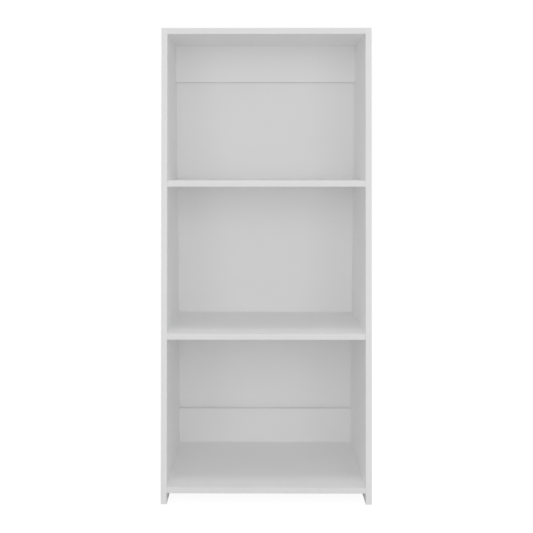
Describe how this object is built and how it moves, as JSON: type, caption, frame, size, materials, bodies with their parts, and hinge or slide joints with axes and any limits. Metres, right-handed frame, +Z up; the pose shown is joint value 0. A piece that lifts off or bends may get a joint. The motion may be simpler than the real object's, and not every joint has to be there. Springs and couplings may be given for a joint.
{
  "type": "bookcase",
  "caption": "Open free-standing white bookcase with slanted side panels, fixed shelves over a raised bottom shelf, back rails and a thin nailed-on back panel.",
  "frame": {"origin": "on the floor, under the middle of the case's overall width and depth", "axes": "+X to the right as seen from the front, +Y from the front to the back panel, +Z up"},
  "size_m": [0.5328, 0.4, 1.19],
  "materials": {
    "melamine_board": "matt white melamine on particleboard",
    "hardboard": "matt white lacquer on the front, raw brown on the rear",
    "edging": "matt white edging strip",
    "cap_plastic": "satin white moulded plastic",
    "screw_steel": "bright zinc plated",
    "nail_steel": "plain bright steel",
    "beech": "raw beech"
  },
  "bodies": {
    "root": {"left_side_panel": "melamine_board", "right_side_panel": "melamine_board", "top_panel": "melamine_board", "upper_shelf": "melamine_board", "lower_shelf": "melamine_board", "bottom_shelf": "melamine_board", "upper_back_rail": "melamine_board", "lower_back_rail": "melamine_board", "back_panel": "hardboard", "left_side_front_edging": "edging", "right_side_front_edging": "edging", "left_side_top_edging": "edging", "right_side_top_edging": "edging", "top_panel_front_edging": "edging", "upper_shelf_front_edging": "edging", "lower_shelf_front_edging": "edging", "bottom_shelf_front_edging": "edging", "upper_rail_lower_edging": "edging", "lower_rail_upper_edging": "edging", "confirmat_screws": "screw_steel", "screw_cover_caps": "cap_plastic", "wood_dowels": "beech", "back_panel_nails": "nail_steel"}
  },
  "joints": []
}
